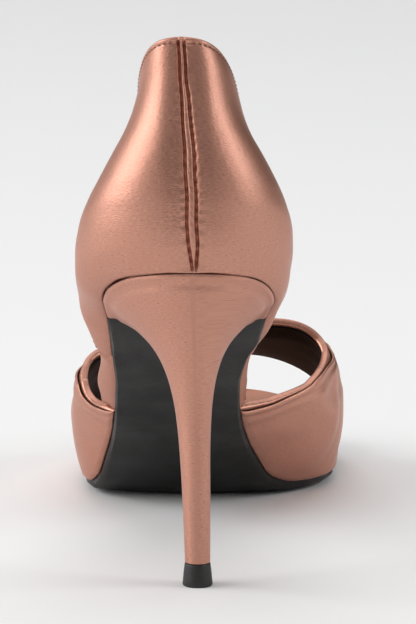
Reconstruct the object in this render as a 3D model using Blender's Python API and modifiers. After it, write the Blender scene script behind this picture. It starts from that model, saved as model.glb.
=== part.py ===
"""Open-sided peep toe pump with a stiletto heel, a left shoe, standing empty on the floor.

The heel tip's floor contact is the origin. +Y runs to the toe, +X to the inner (medial) side, +Z up.
Every surface comes from one last: the sole's edge line, its height above the floor, and the wall
that rises from that line. The tables hold shares of the named sizes, a row for each station.
"""

import math

import bmesh
import bpy
import numpy as np

MM = 0.001

# Driving dimensions of the last.
SOLE_LENGTH = 226 * MM  # seat's back edge to the tip of the toe, measured level
TIP_SETBACK = 16 * MM  # the heel tip's centre stands this far ahead of the seat's back edge
SEAT_HEIGHT = 97.4 * MM  # floor to the seat line at the back of the heel
SEAT_WIDTH = 51.2 * MM
WAIST_WIDTH = 38 * MM
BALL_WIDTH = 78 * MM
TOE_SPRING = 8.2 * MM
TREAD_CROWN = 1.6 * MM  # how far the sole's middle hangs below its edge at the ball
TREAD_WEAR = 0.3 * MM  # what the floor takes off the crown, which leaves the flat spot it rests on
SIDE_BULGE = 10 * MM  # reach of the wall beyond the sole's edge, which the tables share out
BELLY_HEIGHT = 20.5 * MM  # height of the wall's widest line above the sole's edge at the ball

# Upper.
BACK_HEIGHT = 71.7 * MM  # back of the quarter above the seat
INSTEP_HEIGHT = 51.7 * MM  # top of the vamp above the sole's edge, at its throat
QUARTER_WALL = 1.8 * MM
UNDER_BAND_WALL = 1.4 * MM
OVER_BAND_WALL = 1.5 * MM
SEAM_WIDTH = 2.6 * MM
SEAM_RISE = 0.9 * MM

# Sole and insole.
OUTSOLE_THICKNESS = 2.4 * MM
INSOLE_THICKNESS = 5.0 * MM
INSOLE_SWELL = 6.8 * MM  # most that its lateral side swells past its foot; the medial swells less
SOCK_THICKNESS = 1.0 * MM
SOCK_INSET = 1.6 * MM

# Heel.
BREAST = 32 * MM  # the heel's front edge at the seat, ahead of the tip's centre
TOP_PIECE_HEIGHT = 7.2 * MM
TOP_PIECE_WIDTH = 9.0 * MM
TOP_PIECE_DEPTH = 9.6 * MM
STEM_WIDTH = 7.6 * MM

GAP = 0.3 * MM  # clearance between neighbouring curved pieces

# Where the upper's pieces start and end, ahead of the heel tip's centre.
QUARTER_END = 55 * MM
UNDER_BAND_CORNER = 83 * MM
TREAD_START = 126 * MM  # the sole lies on the floor ahead of this station
TOE_TIP = SOLE_LENGTH - TIP_SETBACK
TOE_OPENING_TOP = TOE_TIP - 38 * MM
TOE_OPENING_FOOT = TOE_TIP - 20 * MM
UNDER_BAND_SETBACK = 2.5 * MM  # the under band stops this far short of the over band at the toe
CUP_CENTRE = 16 * MM  # the heel cup is round behind this station
TOE_CENTRE = TOE_TIP - 38 * MM  # the toe is round ahead of this station

SOLE_COLUMNS = ("along", "rise", "spring", "seat", "ball", "swing")
SOLE_STATIONS = (
    (0.000, 1.000, 0.00, 1.00, 0.000, -0.014),
    (0.044, 0.964, 0.00, 1.00, 0.000, -0.024),
    (0.093, 0.909, 0.00, 1.00, 0.000, -0.033),
    (0.137, 0.853, 0.00, 0.99, 0.000, -0.038),
    (0.181, 0.804, 0.00, 0.86, 0.000, -0.046),
    (0.226, 0.744, 0.00, 0.68, 0.000, -0.053),
    (0.266, 0.671, 0.00, 0.50, 0.000, -0.062),
    (0.305, 0.598, 0.00, 0.22, 0.000, -0.083),
    (0.367, 0.479, 0.00, 0.00, 0.000, -0.096),
    (0.420, 0.383, 0.00, 0.00, 0.008, -0.101),
    (0.469, 0.294, 0.00, 0.00, 0.040, -0.103),
    (0.509, 0.219, 0.00, 0.00, 0.105, -0.101),
    (0.558, 0.127, 0.00, 0.00, 0.235, -0.096),
    (0.602, 0.042, 0.00, 0.00, 0.400, -0.085),
    (0.642, 0.004, 0.00, 0.00, 0.650, -0.055),
    (0.668, 0.000, 0.00, 0.00, 0.820, -0.030),
    (0.695, 0.000, 0.00, 0.00, 0.935, -0.008),
    (0.735, 0.000, 0.00, 0.00, 1.000, 0.006),
    (0.779, 0.000, 0.03, 0.00, 0.975, 0.014),
    (0.832, 0.000, 0.14, 0.00, 0.900, 0.030),
    (0.911, 0.000, 0.46, 0.00, 0.830, 0.060),
    (1.000, 0.000, 1.00, 0.00, 0.800, 0.074),
)

WALL_COLUMNS = ("along", "lateral", "medial", "belly")
WALL_STATIONS = (
    (0.000, 0.90, 0.57, 0.47),
    (0.124, 0.88, 0.45, 0.47),
    (0.195, 0.94, 0.59, 0.48),
    (0.248, 0.97, 0.51, 0.44),
    (0.301, 0.72, 0.40, 0.35),
    (0.345, 0.47, 0.28, 0.30),
    (0.395, 0.60, 0.26, 0.34),
    (0.425, 0.70, 0.55, 0.48),
    (0.469, 0.80, 1.22, 0.74),
    (0.513, 0.86, 1.72, 0.92),
    (0.558, 0.86, 2.02, 1.00),
    (0.602, 0.72, 1.93, 1.02),
    (0.646, 0.48, 1.22, 1.02),
    (0.690, 0.28, 0.54, 1.00),
    (0.735, 0.22, 0.12, 0.95),
    (0.779, 0.24, 0.14, 0.87),
    (0.832, 0.22, 0.10, 0.74),
    (0.885, 0.16, 0.10, 0.58),
    (0.920, 0.12, 0.10, 0.30),
    (1.000, 0.12, 0.10, 0.25),
)

VAMP_COLUMNS = ("along", "crest", "ridge", "lateral_fullness", "medial_fullness")
VAMP_STATIONS = (
    (0.400, 0.86, 0.18, 2.05, 2.55),
    (0.513, 0.93, 0.19, 2.05, 2.90),
    (0.628, 1.00, 0.21, 2.40, 3.20),
    (0.690, 0.88, 0.20, 2.35, 2.70),
    (0.735, 0.80, 0.18, 2.30, 2.45),
    (0.779, 0.72, 0.16, 2.10, 2.10),
    (0.832, 0.63, 0.14, 1.85, 1.80),
    (0.885, 0.54, 0.12, 1.80, 1.75),
)

CUP_COLUMNS = ("height", "width", "back", "axis")
CUP_LEVELS = (
    (0.000, 0.998, 0.012, -0.026),
    (0.125, 0.994, 0.046, -0.022),
    (0.200, 1.004, 0.051, -0.017),
    (0.290, 0.987, 0.050, -0.010),
    (0.375, 0.928, 0.043, -0.005),
    (0.458, 0.840, 0.030, -0.001),
    (0.556, 0.723, 0.008, 0.000),
    (0.653, 0.602, -0.018, -0.001),
    (0.736, 0.527, -0.040, -0.000),
    (0.820, 0.476, -0.060, 0.001),
    (0.903, 0.438, -0.080, -0.005),
    (1.000, 0.364, -0.100, -0.017),
)

TOPLINE_COLUMNS = ("round", "height")  # position from the back seam to the front corner
TOPLINE = (
    (0.000, 1.000),
    (0.100, 0.994),
    (0.190, 0.982),
    (0.270, 0.960),
    (0.340, 0.928),
    (0.400, 0.893),
    (0.460, 0.847),
    (0.520, 0.786),
    (0.590, 0.696),
    (0.670, 0.585),
    (0.780, 0.449),
    (0.880, 0.325),
    (0.950, 0.209),
    (0.985, 0.123),
    (1.000, 0.057),
)

# The bands' rear edges from the sole's edge (0) to the ridge (1), as shares of the sole's length.
EDGE_COLUMNS = ("inward", "under_lateral", "under_medial", "over_lateral", "over_medial")
BAND_EDGES = (
    (0.00, 0.446, 0.439, 0.443, 0.443),
    (0.04, 0.450, 0.441, 0.447, 0.446),
    (0.08, 0.455, 0.446, 0.454, 0.452),
    (0.12, 0.461, 0.453, 0.463, 0.459),
    (0.16, 0.470, 0.462, 0.473, 0.468),
    (0.20, 0.482, 0.474, 0.486, 0.478),
    (0.25, 0.497, 0.487, 0.502, 0.490),
    (0.30, 0.510, 0.505, 0.518, 0.507),
    (0.36, 0.522, 0.528, 0.533, 0.530),
    (0.42, 0.530, 0.549, 0.546, 0.551),
    (0.50, 0.543, 0.574, 0.568, 0.578),
    (0.58, 0.562, 0.594, 0.594, 0.607),
    (0.66, 0.583, 0.610, 0.621, 0.638),
    (0.75, 0.603, 0.622, 0.649, 0.664),
    (0.85, 0.619, 0.626, 0.673, 0.680),
    (1.00, 0.628, 0.628, 0.688, 0.688),
)

# The heel's rings from the top piece (level 0) up to the seat (level 1). back is a share of the
# tip's setback and front of the breast; the rises are shares of the way from the top piece to the
# seat line there.
HEEL_COLUMNS = ("level", "back", "back_rise", "front", "front_rise", "width", "squareness", "lean")
HEEL_RINGS = (
    (0.00, 0.262, 0.000, 0.140, 0.000, 0.000, 0.00, 0.00),
    (0.20, 0.272, 0.179, 0.152, 0.226, 0.014, 0.00, 0.10),
    (0.38, 0.300, 0.385, 0.170, 0.447, 0.034, 0.00, 0.28),
    (0.52, 0.355, 0.536, 0.205, 0.602, 0.070, 0.02, 0.42),
    (0.63, 0.440, 0.644, 0.262, 0.713, 0.130, 0.08, 0.55),
    (0.73, 0.560, 0.735, 0.350, 0.801, 0.225, 0.18, 0.68),
    (0.82, 0.700, 0.814, 0.480, 0.873, 0.370, 0.36, 0.80),
    (0.90, 0.835, 0.879, 0.660, 0.931, 0.580, 0.60, 0.90),
    (0.96, 0.940, 0.940, 0.860, 0.973, 0.820, 0.84, 0.97),
    (1.00, 1.000, 1.000, 1.000, 1.000, 1.000, 1.00, 1.00),
)


def smooth(rows, columns, name):
    """A function through one column of a table against its first column, with no overshoot.

    Each stretch is a cubic whose end slopes are the harmonic mean of the slopes beside them.
    """
    at = np.array([row[0] for row in rows], float)
    value = np.array([row[columns.index(name)] for row in rows], float)
    step = np.diff(at)
    rise = np.diff(value) / step
    slope = np.zeros(len(at))
    slope[0], slope[-1] = rise[0], rise[-1]
    before, after = rise[:-1], rise[1:]
    same = before * after > 0
    total = np.where(same, before + after, 1.0)
    slope[1:-1] = np.where(same, 2 * before * after / total, 0.0)

    def read(where):
        where = np.clip(np.asarray(where, float), at[0], at[-1])
        i = np.clip(np.searchsorted(at, where, side="right") - 1, 0, len(step) - 1)
        t = (where - at[i]) / step[i]
        a = (1 + 2 * t) * (1 - t) ** 2 * value[i] + t * (1 - t) ** 2 * step[i] * slope[i]
        b = t * t * (3 - 2 * t) * value[i + 1] + t * t * (t - 1) * step[i] * slope[i + 1]
        return a + b

    return read


RISE = smooth(SOLE_STATIONS, SOLE_COLUMNS, "rise")
SPRING = smooth(SOLE_STATIONS, SOLE_COLUMNS, "spring")
SEAT_SHARE = smooth(SOLE_STATIONS, SOLE_COLUMNS, "seat")
BALL_SHARE = smooth(SOLE_STATIONS, SOLE_COLUMNS, "ball")
SWING = smooth(SOLE_STATIONS, SOLE_COLUMNS, "swing")
LATERAL_BULGE = smooth(WALL_STATIONS, WALL_COLUMNS, "lateral")
MEDIAL_BULGE = smooth(WALL_STATIONS, WALL_COLUMNS, "medial")
BELLY = smooth(WALL_STATIONS, WALL_COLUMNS, "belly")
CREST = smooth(VAMP_STATIONS, VAMP_COLUMNS, "crest")
RIDGE = smooth(VAMP_STATIONS, VAMP_COLUMNS, "ridge")
LATERAL_FULLNESS = smooth(VAMP_STATIONS, VAMP_COLUMNS, "lateral_fullness")
MEDIAL_FULLNESS = smooth(VAMP_STATIONS, VAMP_COLUMNS, "medial_fullness")
CUP_SHARE = smooth(CUP_LEVELS, CUP_COLUMNS, "width")
CUP_BACK = smooth(CUP_LEVELS, CUP_COLUMNS, "back")
CUP_AXIS = smooth(CUP_LEVELS, CUP_COLUMNS, "axis")
TOPLINE_HEIGHT = smooth(TOPLINE, TOPLINE_COLUMNS, "height")
REAR = {name: smooth(BAND_EDGES, EDGE_COLUMNS, name) for name in EDGE_COLUMNS[1:]}
HEEL = {name: smooth(HEEL_RINGS, HEEL_COLUMNS, name) for name in HEEL_COLUMNS[1:]}

ROUNDNESS = 2.02  # exponent of the superellipses at the heel and the toe, 2 being a true ellipse
SEAT_BACK = -TIP_SETBACK
LATERAL, MEDIAL = -1, 1


def along(y):
    """The share of the sole's length at y."""
    return (np.asarray(y, float) + TIP_SETBACK) / SOLE_LENGTH


def edge_height(y):
    """Height of the sole's top edge line above the floor."""
    s = along(y)
    tread = OUTSOLE_THICKNESS + TREAD_CROWN - TREAD_WEAR
    return tread + RISE(s) * (SEAT_HEIGHT - tread) + SPRING(s) * TOE_SPRING


def end_rounding(y, inset=0.0):
    """Share of the full width that is left at y by the round heel and the round toe."""
    back = np.clip((CUP_CENTRE - y) / (CUP_CENTRE - SEAT_BACK - inset), 0, 1)
    front = np.clip((y - TOE_CENTRE) / (TOE_TIP - TOE_CENTRE - inset), 0, 1)
    reach = np.maximum(back, front)
    return (1 - reach**ROUNDNESS) ** (1 / ROUNDNESS)


def sole_axis(y):
    """The sole's centre line, which swings to either side of the heel tip."""
    return SWING(along(y)) * BALL_WIDTH


def sole_half_width(y):
    """Half the sole's width before its ends are rounded."""
    s = along(y)
    seat, ball = SEAT_SHARE(s), BALL_SHARE(s)
    return (SEAT_WIDTH * seat + BALL_WIDTH * ball + WAIST_WIDTH * (1 - seat - ball)) / 2


def sole_edge(y, side, inset=0.0, beyond=0.0):
    """The sole's edge on one side at y, drawn in by inset all round and out by beyond."""
    reach = sole_half_width(y) - inset + beyond
    return sole_axis(y) + side * reach * end_rounding(y, inset)


def bulge(y, side):
    """How far the wall's widest line stands outside the sole's edge."""
    share = np.where(side == MEDIAL, MEDIAL_BULGE(along(y)), LATERAL_BULGE(along(y)))
    return SIDE_BULGE * share


def belly_height(y):
    return BELLY_HEIGHT * BELLY(along(y))


def underside_curve(height_share, fullness):
    """The wall's lower curve, from 0 at the sole's edge to 1 at its widest line."""
    return (1 - (1 - height_share) ** 2) ** fullness


def underside(y):
    """Fullness of the wall's lower curve: round under the heel cup, flatter under the vamp."""
    return 0.5 + 0.4 * np.clip((y - QUARTER_END) / (UNDER_BAND_CORNER - QUARTER_END), 0, 1)


def side_wall(y, side, height_share):
    """A point of the wall between the sole's edge (0) and its widest line (1), on a flat section."""
    x = sole_edge(y, side) + side * bulge(y, side) * underside_curve(height_share, underside(y))
    return x, edge_height(y) + GAP + belly_height(y) * height_share


def quarter_point(around, share, lift=0.0):
    """A point of the heel cup's outer surface.

    around runs from -1 at the lateral front corner over 0 at the back seam to 1 at the medial one.
    share runs from 0 at the sole's edge to 1 at the topline. lift moves the point outwards.
    """
    side = np.where(around < 0, LATERAL, MEDIAL)
    place = np.abs(around)
    turn = (1 - np.clip(1 - place / BACK_ARC, 0, 1) ** 1.3) * math.pi / 2
    forward = np.clip((place - BACK_ARC) / (1 - BACK_ARC), 0, 1) * (QUARTER_END - CUP_CENTRE)
    height = BACK_HEIGHT * TOPLINE_HEIGHT(place) * share
    level = height / BACK_HEIGHT

    across = np.sin(turn) ** (2 / ROUNDNESS)
    squarer = ROUNDNESS + CUP_SQUARING * level
    behind = np.clip(1 - across**squarer, 0, 1) ** (1 / squarer)
    back_reach = CUP_CENTRE - SEAT_BACK + CUP_BACK(level) * BACK_HEIGHT
    y = CUP_CENTRE - back_reach * behind + forward - lift * behind

    station = np.maximum(y, CUP_CENTRE)
    axis = sole_axis(station) * across + sole_axis(SEAT_BACK) * (1 - across)
    seat_x = axis + side * sole_half_width(station) * across
    belly = belly_height(station)
    widest = sole_edge(station, side) + side * bulge(station, side)
    cup_axis = (CUP_AXIS(level) - CUP_AXIS(0)) * BALL_WIDTH
    seat_axis = (sole_edge(CUP_CENTRE, MEDIAL) + sole_edge(CUP_CENTRE, LATERAL)) / 2
    seat_axis = seat_axis + (bulge(CUP_CENTRE, MEDIAL) - bulge(CUP_CENTRE, LATERAL)) / 2
    upper_x = seat_axis + cup_axis + (widest - seat_axis) * CUP_SHARE(level)
    seam_x = sole_axis(SEAT_BACK) + SEAM_LEAN * height
    upper_x = upper_x * across + seam_x * (1 - across)
    low = underside_curve(np.clip(height / belly, 0, 1), 0.5)
    x = seat_x + (upper_x - seat_x) * low + side * lift * across
    return np.stack([x, y, edge_height(y) + GAP + height], axis=-1)


CUP_SQUARING = 0.7  # the cup's level sections grow blunter behind towards the topline
BACK_ARC = 0.45  # share of the quarter's way round that the round back takes
SEAM_LEAN = -0.048  # the back seam leans to the lateral side as it rises


def vamp_point(y, across):
    """A point of the vamp's reference surface, which is the under band's outside.

    across runs from -1 at the lateral sole edge over 0 on the ridge to 1 at the medial edge.
    """
    side = np.where(across < 0, LATERAL, MEDIAL)
    place = np.abs(across)
    s = along(y)
    ridge_x = RIDGE(s) * BALL_WIDTH
    widest = sole_edge(y, side) + side * bulge(y, side)
    belly = edge_height(y) + GAP + belly_height(y)
    crest = edge_height(y) + GAP + CREST(s) * INSTEP_HEIGHT
    fullness = np.where(side == MEDIAL, MEDIAL_FULLNESS(s), LATERAL_FULLNESS(s))
    turn = np.clip(1 - place / WIDEST_PLACE, 0, 1) ** 1.3 * math.pi / 2
    over_x = ridge_x + (widest - ridge_x) * np.cos(turn) ** (2 / fullness)
    over_z = belly + (crest - belly) * np.sin(turn) ** (2 / fullness)
    height_share = np.clip((1 - place) / (1 - WIDEST_PLACE), 0, 1) ** 1.5
    low_x, low_z = side_wall(y, side, height_share)
    above = place < WIDEST_PLACE
    return np.stack([np.where(above, over_x, low_x), y, np.where(above, over_z, low_z)], axis=-1)


WIDEST_PLACE = 0.64  # place of the wall's widest line on the way from ridge to sole


def band_grid(band, foot, top, columns, rows, reach=1.0):
    """The vamp's reference points on a grid from one band's rear edge to the toe opening's edge."""
    across = np.linspace(-reach, reach, columns)
    inward = 1 - np.abs(across)
    shares = np.where(across < 0, REAR[band + "_lateral"](inward), REAR[band + "_medial"](inward))
    rear = SEAT_BACK + SOLE_LENGTH * shares
    front = foot + (top - foot) * np.sin(inward**0.9 * math.pi / 2)
    y = rear + (front - rear) * np.linspace(0, 1, rows)[:, None]
    return vamp_point(y, np.broadcast_to(across, y.shape))


def grid_normals(points):
    """Unit normals of a grid of points, from the differences along its two ways."""
    down = np.gradient(points, axis=0)
    over = np.gradient(points, axis=1)
    normal = np.cross(down, over)
    length = np.linalg.norm(normal, axis=-1, keepdims=True)
    return normal / np.maximum(length, 1e-12)


def material(name, rgb, roughness, metallic=0.0):
    made = bpy.data.materials.new(name)
    made.use_nodes = True
    shader = made.node_tree.nodes["Principled BSDF"]
    shader.inputs["Base Color"].default_value = (*rgb, 1.0)
    shader.inputs["Roughness"].default_value = roughness
    shader.inputs["Metallic"].default_value = metallic
    return made


def add_object(name, vertices, faces, surface, collection):
    mesh = bpy.data.meshes.new(name)
    mesh.from_pydata([tuple(map(float, v)) for v in vertices], [], faces)
    mesh.materials.append(surface)
    made = bpy.data.objects.new(name, mesh)
    collection.objects.link(made)
    mesh.shade_smooth()
    mesh.set_sharp_from_angle(angle=math.radians(40))
    return made


def grid_faces(rows, columns):
    """Quads over a grid of points stored row by row."""
    faces = []
    for r in range(rows - 1):
        for c in range(columns - 1):
            a, b = r * columns + c, r * columns + c + 1
            faces.append((a, b, b + columns, a + columns))
    return faces


def add_shell(name, points, thickness, outward, surface, collection):
    """A wall made from a grid of points by Solidify, thickened outwards or inwards."""
    rows, columns = points.shape[:2]
    made = add_object(name, points.reshape(-1, 3), grid_faces(rows, columns), surface, collection)
    wall = made.modifiers.new("wall", "SOLIDIFY")
    wall.thickness = thickness
    wall.offset = 1.0 if outward else -1.0
    return made


def add_loft(name, sections, surface, collection):
    """A closed solid through rings of points, one ring a section.

    Point i of a ring faces point -1 - i across the solid, and the two ends close between such pairs.
    """
    rings, around = sections.shape[:2]
    faces = []
    for r in range(rings - 1):
        for c in range(around):
            a, b = r * around + c, r * around + (c + 1) % around
            faces.append((a, b, b + around, a + around))
    for start, turned in ((0, True), ((rings - 1) * around, False)):
        for i in range(around // 2 - 1):
            cap = (start + i, start + i + 1, start + around - 2 - i, start + around - 1 - i)
            faces.append(cap[::-1] if turned else cap)
    made = add_object(name, sections.reshape(-1, 3), faces, surface, collection)
    turned_out = bmesh.new()
    turned_out.from_mesh(made.data)
    bmesh.ops.recalc_face_normals(turned_out, faces=turned_out.faces)
    turned_out.to_mesh(made.data)
    turned_out.free()
    made.data.shade_smooth()
    made.data.set_sharp_from_angle(angle=math.radians(40))
    return made


def station_list(start, end, count, fixed=()):
    """Stations from start to end, closer together towards both ends, with some fixed ones added."""
    t = np.linspace(0, 1, count)
    eased = (1 - np.cos(t * math.pi)) / 2
    stations = start + (end - start) * (0.6 * eased + 0.4 * t)
    return np.unique(np.concatenate([stations, np.array(fixed, float)]))


def build_quarter(surface, collection):
    """The closed back: one wall round the heel, tall at the seam and cut down to the sole in front."""
    seam = SEAM_WIDTH / 2 / ARC_LENGTH
    near = np.array([-2.2, -1.0, -0.62, 0.0, 0.62, 1.0, 2.2]) * seam
    far = np.linspace(3.4 * seam, 1, 18)
    around = np.concatenate([-far[::-1], near, far])
    raised = np.interp(np.abs(around), [0, 0.62 * seam, seam], [SEAM_RISE, SEAM_RISE * 0.8, 0])
    share = np.linspace(0, 1, 15)[:, None] ** 1.9
    fade = np.interp(share, [0, 0.08, 0.16, 1], [0, 0.1, 1, 1])
    grid = quarter_point(np.broadcast_to(around, (15, len(around))), share, raised * fade)
    return add_shell("upper_quarter", grid, QUARTER_WALL, False, surface, collection)


ARC_LENGTH = 130 * MM  # way along the topline from the seam to a front corner


def build_bands(surfaces, collection):
    """The vamp's two bands: one set back on the instep, the other over it and ahead to the toes."""
    back = UNDER_BAND_SETBACK
    under = band_grid("under", TOE_OPENING_FOOT - back, TOE_OPENING_TOP - back, 29, 16)
    add_shell("upper_under_band", under, UNDER_BAND_WALL, False, surfaces["under_band"], collection)
    over = band_grid("over", TOE_OPENING_FOOT, TOE_OPENING_TOP, 31, 17, 0.94)
    over = over - grid_normals(over) * 2 * GAP
    add_shell("upper_over_band", over, OVER_BAND_WALL, True, surfaces["over_band"], collection)


def sole_crown(y):
    """How far the sole's middle hangs below its edge: nothing at the seat, the most at the ball."""
    return TREAD_CROWN * np.clip((y - QUARTER_END) / (TREAD_START - QUARTER_END), 0, 1) ** 2


def across_sole(y, shares, inset, beyond):
    """Points across the sole at y: x for shares from -1 to 1, and how far each hangs by the crown."""
    left, right = sole_edge(y, LATERAL, inset, beyond[0]), sole_edge(y, MEDIAL, inset, beyond[1])
    x = (left + right) / 2 + (right - left) / 2 * shares
    return x, sole_crown(y) * (1 - shares**2)


def ring_of(y, top, under):
    """A ring at y from (x, z) rows: the top from left to right, then the underside back again."""
    rows = [np.stack([x, np.full_like(x, y), z], axis=-1) for x, z in (top, under)]
    return np.concatenate([rows[0], rows[1][::-1]])


def build_outsole(surface, collection):
    """The outsole: a thin sheet on the sole's edge line, flat where it treads on the floor."""
    shares = np.array([-1, -0.96, -0.7, -0.35, 0, 0.35, 0.7, 0.96, 1])
    sections = []
    stations = insole_stations()
    for y in np.append(BREAST + GAP, stations[stations > BREAST + 6 * GAP]):
        x, hang = across_sole(y, shares, 0.0, (0.0, 0.0))
        top = edge_height(y) - hang
        under = np.maximum(top - OUTSOLE_THICKNESS, 0)
        under[[0, -1]] = top[[0, -1]] - OUTSOLE_THICKNESS * 0.6
        sections.append(ring_of(y, (x, top), (x, under)))
    return add_loft("outsole", np.array(sections), surface, collection)


def insole_inset(y, height):
    """How far the insole stands in from the wall's outside, to leave room where a wall covers it.

    The vamp's edges rise as they run forward or back, so its cover starts and stops later higher up.
    """
    quarter, band = QUARTER_WALL + GAP, UNDER_BAND_WALL + 2 * GAP
    outside = np.clip((height - band) / belly_height(UNDER_BAND_CORNER), 0, 1)
    inward = (1 - WIDEST_PLACE) * outside ** (2 / 3)
    rear = SEAT_BACK + SOLE_LENGTH * float(REAR["under_medial"](inward))
    back = (TOE_OPENING_FOOT - TOE_OPENING_TOP) * math.sin(inward**0.9 * math.pi / 2)
    front = TOE_OPENING_FOOT - back
    at = (QUARTER_END + 5 * GAP, QUARTER_END + 9 * GAP, rear - 10 * GAP, rear - 5 * GAP)
    return np.interp(y, at + (front + GAP, front + 5 * GAP), (quarter, 0, 0, band, band, 0))


def insole_reach(y, side, height):
    """How far the insole's side swells past its own foot at a height above the sole's edge."""
    inset = insole_inset(y, height)
    lifted = np.clip((height - inset) / belly_height(y), 0, 1)
    swell = np.minimum(bulge(y, side), INSOLE_SWELL * (0.41 if side == MEDIAL else 1.0))
    swell = swell * underside_curve(lifted, underside(y))
    return swell - inset * (wall_spread(y, side) - 1)


def wall_spread(y, side):
    """How much thicker the wall is straight across the foot than square to itself."""
    step = GAP
    reach = [sole_half_width(at) + bulge(at, side) for at in (y - step, y + step)]
    return min(math.hypot(1, (reach[1] - reach[0]) / (2 * step)), 1.6)


def insole_stations():
    """Stations of the insole, with a few where the walls over it start and stop."""
    ends = (QUARTER_END, UNDER_BAND_CORNER, TOE_OPENING_FOOT)
    fixed = [end + step * GAP for end in ends for step in (-5, -1, 1, 5, 9)]
    fixed += [UNDER_BAND_CORNER + step * GAP for step in (10, 20)]
    fixed += [TREAD_START + step * GAP for step in (-50, -35, -20, -10, 0, 10)]
    fixed += [TOE_TIP - step * GAP for step in (4, 12)]
    return station_list(SEAT_BACK + QUARTER_WALL + 2 * GAP, TOE_TIP - 0.25 * MM, 25, fixed)


def build_insole(surface, collection):
    """The covered insole, whose edge shows at the waist and round the toes."""
    shares = np.array([-0.985, -0.6, 0, 0.6, 0.985])
    sections = []
    for y in insole_stations():
        base = edge_height(y) + GAP
        rows = []
        for height in np.array([0.42, 0.6, 0.9]) * INSOLE_THICKNESS:
            beyond = [insole_reach(y, side, height) for side in (LATERAL, MEDIAL)]
            inset = insole_inset(y, height)
            rows.append(across_sole(y, np.array([-1.0, 1.0]), inset, beyond)[0])
        beyond = [insole_reach(y, side, INSOLE_THICKNESS) for side in (LATERAL, MEDIAL)]
        x, hang = across_sole(y, shares, inset, beyond)
        lefts, rights = [row[0] for row in rows], [row[1] for row in rows]
        top_x = np.concatenate([lefts, x, rights[::-1]])
        sides = np.array([0.42, 0.6, 0.9]) * INSOLE_THICKNESS
        top_z = base + np.concatenate([sides, INSOLE_THICKNESS - hang, sides[::-1]])
        foot_inset = insole_inset(y, 0.0)
        foot_beyond = [insole_reach(y, side, 0.0) for side in (LATERAL, MEDIAL)]
        foot, foot_hang = across_sole(y, np.linspace(-1, 1, 11), foot_inset, foot_beyond)
        sections.append(ring_of(y, (top_x, top_z), (foot, base - foot_hang)))
    return add_loft("insole", np.array(sections), surface, collection)


def build_sock(surface, collection):
    """The sock lining, a sheet over the insole that stops just inside its edge and the walls."""
    shares = np.array([-1, -0.6, 0, 0.6, 1])
    sections = []
    stations = insole_stations()
    for y in stations[(stations > stations[0] + GAP) & (stations < TOE_TIP - SOCK_INSET)]:
        inset = max(insole_inset(y, INSOLE_THICKNESS), SOCK_INSET)
        height = INSOLE_THICKNESS
        beyond = [insole_reach(y, side, height) - 2 * GAP for side in (LATERAL, MEDIAL)]
        x, hang = across_sole(y, shares, inset, beyond)
        under = edge_height(y) + 2 * GAP + INSOLE_THICKNESS - hang
        sections.append(ring_of(y, (x, under + SOCK_THICKNESS), (x, under)))
    return add_loft("sock_lining", np.array(sections), surface, collection)


def heel_ring(level):
    """One ring of the heel: its side shape goes from an ellipse at the tip to the seat's outline."""
    read = {name: float(curve(level)) for name, curve in HEEL.items()}
    back = -TIP_SETBACK * read["back"]
    front = BREAST * read["front"]
    back_z = TOP_PIECE_HEIGHT + (SEAT_HEIGHT - TOP_PIECE_HEIGHT) * read["back_rise"]
    front_z = TOP_PIECE_HEIGHT + (edge_height(BREAST) - TOP_PIECE_HEIGHT) * read["front_rise"]
    half = (STEM_WIDTH + (SEAT_WIDTH - STEM_WIDTH) * read["width"]) / 2
    turn = np.linspace(0.12, 1, 10) ** 0.95 * math.pi
    place = (1 - np.cos(turn)) / 2
    oval = np.sin(turn * 0.965 + 0.02)
    seat_y = SEAT_BACK + (BREAST - SEAT_BACK) * place
    y = back + (front - back) * place
    flat_z = back_z + (front_z - back_z) * place
    sag = edge_height(seat_y) - (SEAT_HEIGHT + (edge_height(BREAST) - SEAT_HEIGHT) * place)
    z = flat_z + sag * read["squareness"]
    axis = read["lean"] * sole_axis(seat_y)
    sides = []
    for side in (LATERAL, MEDIAL):
        seat_half = np.abs(sole_edge(seat_y, side) - sole_axis(seat_y)) / (SEAT_WIDTH / 2)
        shape = oval * (1 - read["squareness"]) + seat_half * read["squareness"]
        sides.append(np.stack([axis + side * half * shape, y, z], axis=-1))
    return np.concatenate([sides[0], sides[1][::-1]])


def build_heel(surface, collection):
    """The covered heel: a slim stem that flares into the seat and has a hollow breast in front."""
    levels = np.linspace(0, 1, 24) ** 0.8
    sections = np.array([heel_ring(level) for level in levels])
    return add_loft("heel", sections, surface, collection)


def build_top_piece(surface, collection):
    """The rubber top piece under the stem, a little wider at the floor."""
    turn = np.linspace(0.06, 0.94, 12) * math.pi
    sections = []
    for height, grow in ((0.0, 0.96), (0.08, 1.0), (0.6, 0.93), (1.0, 0.86)):
        y = -np.cos(turn) * TOP_PIECE_DEPTH / 2 * grow
        x = np.sin(turn) * TOP_PIECE_WIDTH / 2 * grow
        z = np.full_like(x, height * (TOP_PIECE_HEIGHT - GAP))
        lateral, medial = np.stack([-x, y, z], axis=-1), np.stack([x, y, z], axis=-1)
        sections.append(np.concatenate([lateral, medial[::-1]]))
    return add_loft("top_piece", np.array(sections), surface, collection)


def main():
    for old in list(bpy.data.objects):
        bpy.data.objects.remove(old)
    collection = bpy.data.collections.new("peep_toe_pump")
    bpy.context.scene.collection.children.link(collection)
    satin = {}
    for part in ("heel", "quarter", "under_band", "over_band", "insole"):
        satin[part] = material("satin_" + part, (0.52, 0.23, 0.155), 0.42)
    build_top_piece(material("black_rubber", (0.01, 0.01, 0.01), 0.6), collection)
    build_heel(satin["heel"], collection)
    build_outsole(material("black_outsole", (0.015, 0.015, 0.016), 0.5), collection)
    build_insole(satin["insole"], collection)
    build_sock(material("copper_sock", (0.45, 0.2, 0.13), 0.5), collection)
    build_quarter(satin["quarter"], collection)
    build_bands(satin, collection)


main()
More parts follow.
